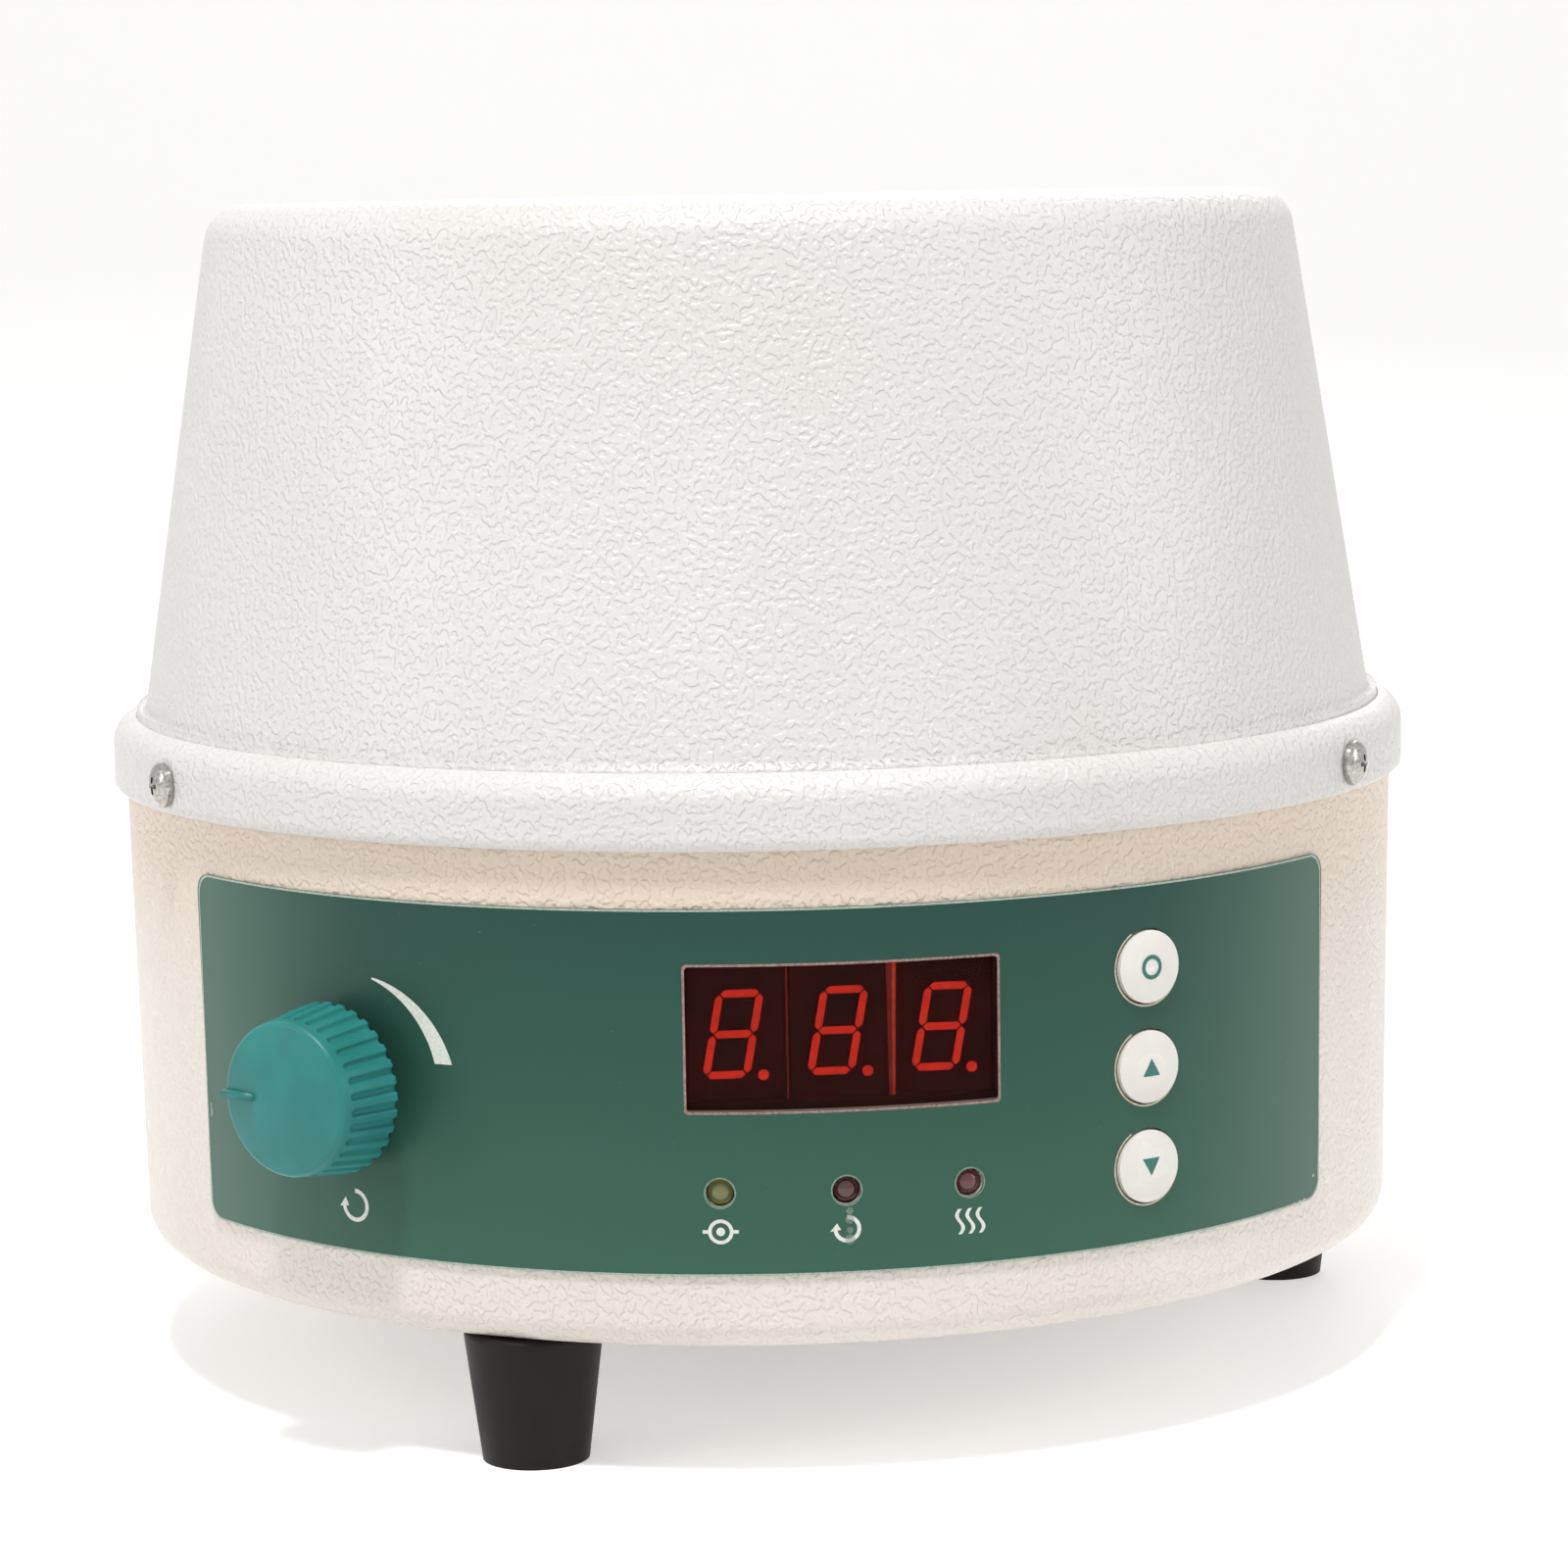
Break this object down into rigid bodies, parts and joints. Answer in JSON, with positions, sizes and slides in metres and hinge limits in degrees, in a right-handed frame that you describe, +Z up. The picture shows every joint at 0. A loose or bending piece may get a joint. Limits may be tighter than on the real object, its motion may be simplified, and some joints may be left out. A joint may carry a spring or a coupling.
{
  "type": "heating mantle with magnetic stirrer",
  "caption": "Round benchtop heating mantle with a conical housing, a woven heated bowl for a flask, a stirring drive under it and a curved control panel.",
  "frame": {"origin": "on the housing's axis, at the surface that the feet stand on", "axes": "+Z up along the housing's axis; the control panel faces -Y, the mains inlet +Y, and +X is to the right of someone who faces the panel"},
  "size_m": [0.2, 0.2022, 0.1769],
  "materials": {
    "powder_coat": "textured powder coat, off-white, satin",
    "black_rubber": "moulded, matt",
    "chrome": "bright plated screws",
    "zinc_steel": "zinc plated",
    "teal_film": "printed polycarbonate film, satin",
    "red_filter": "deep red acrylic, polished",
    "display_black": "moulded, satin",
    "green_lens": "diffused yellow-green lens",
    "red_lens": "diffused dark red lens",
    "white_button": "moulded, satin",
    "teal_plastic": "moulded ABS, matt",
    "glass_fabric": "woven glass yarn",
    "wool": "ceramic wool",
    "aluminium": "spun, satin",
    "nichrome": "drawn wire",
    "circuit_board": "glass-epoxy with solder mask",
    "black_plastic": "moulded",
    "brass": "turned",
    "ferrite": "sintered ferrite",
    "winding": "taped copper winding",
    "fuse_glass": "glass tube",
    "components": "moulded component cases"
  },
  "bodies": {
    "housing": {"lower_casing": "powder_coat", "upper_shell": "powder_coat", "flange_screws": "chrome", "m3_nuts": "zinc_steel", "foot_front": "black_rubber", "foot_right": "black_rubber", "foot_rear": "black_rubber", "foot_screws": "zinc_steel", "foot_nuts": "zinc_steel", "control_label": "teal_film", "display_window": "red_filter", "digit_module_left": "display_black", "digit_module_middle": "display_black", "digit_module_right": "display_black", "set_lamp": "green_lens", "stir_lamp": "red_lens", "heat_lamp": "red_lens", "display_board": "circuit_board", "button_board": "circuit_board", "display_bracket": "zinc_steel", "button_bracket": "zinc_steel", "board_spacers": "brass", "inner_screws": "zinc_steel", "floor_screws": "zinc_steel", "button_switches": "black_plastic", "potentiometer_body": "zinc_steel", "potentiometer_nut": "zinc_steel", "woven_bowl": "glass_fabric", "heating_element": "nichrome", "mantle_insulation": "wool", "mantle_pan": "aluminium", "temperature_probe": "zinc_steel", "motor_bracket": "zinc_steel", "motor_can": "zinc_steel", "motor_end_cap": "black_plastic", "motor_bearings": "brass", "stator_magnets": "ferrite", "heat_shield": "aluminium", "main_board": "circuit_board", "board_components": "components", "transformer_core": "ferrite", "transformer_winding": "winding", "power_inlet": "black_plastic", "inlet_pins": "brass", "inlet_screws": "zinc_steel", "switch_body": "black_plastic", "fuse_holder": "black_plastic", "fuse_nut": "black_plastic"},
    "speed_control": {"speed_knob": "teal_plastic", "potentiometer_shaft": "brass"},
    "select_key": {"select_button": "white_button"},
    "raise_key": {"raise_button": "white_button"},
    "lower_key": {"lower_button": "white_button"},
    "stirrer_rotor": {"motor_shaft": "zinc_steel", "motor_armature": "winding", "magnet_carrier": "aluminium", "stir_magnets": "ferrite"},
    "rocker": {"power_rocker": "black_plastic"},
    "fuse_carrier": {"fuse_cap": "black_plastic", "fuse": "fuse_glass"}
  },
  "joints": [
    {"name": "speed_turn", "type": "hinge", "parent": "housing", "child": "speed_control", "pos_m": [-0.06246, -0.0844, 0.0542], "axis": [0.5948, 0.8039, 0], "range_deg": [-45, 225]},
    {"name": "select_press", "type": "slide", "parent": "housing", "child": "select_key", "axis": [-0.5483, 0.8363, 0], "range_m": [0, 0.0006], "stiffness_N_per_m": 800, "springref_m": -0.0008},
    {"name": "raise_press", "type": "slide", "parent": "housing", "child": "raise_key", "axis": [-0.5483, 0.8363, 0], "range_m": [0, 0.0006], "stiffness_N_per_m": 800, "springref_m": -0.0008},
    {"name": "lower_press", "type": "slide", "parent": "housing", "child": "lower_key", "axis": [-0.5483, 0.8363, 0], "range_m": [0, 0.0006], "stiffness_N_per_m": 800, "springref_m": -0.0008},
    {"name": "stirrer_spin", "type": "hinge", "parent": "housing", "child": "stirrer_rotor", "pos_m": [0, 0, 0.09], "axis": [0, 0, 1], "continuous": true},
    {"name": "power_rock", "type": "hinge", "parent": "housing", "child": "rocker", "pos_m": [-0.014, 0.092, 0.065], "axis": [0, 0, 1], "range_deg": [0, 20]},
    {"name": "fuse_pull", "type": "slide", "parent": "housing", "child": "fuse_carrier", "axis": [0, 1, 0], "range_m": [0, 0.03]}
  ]
}
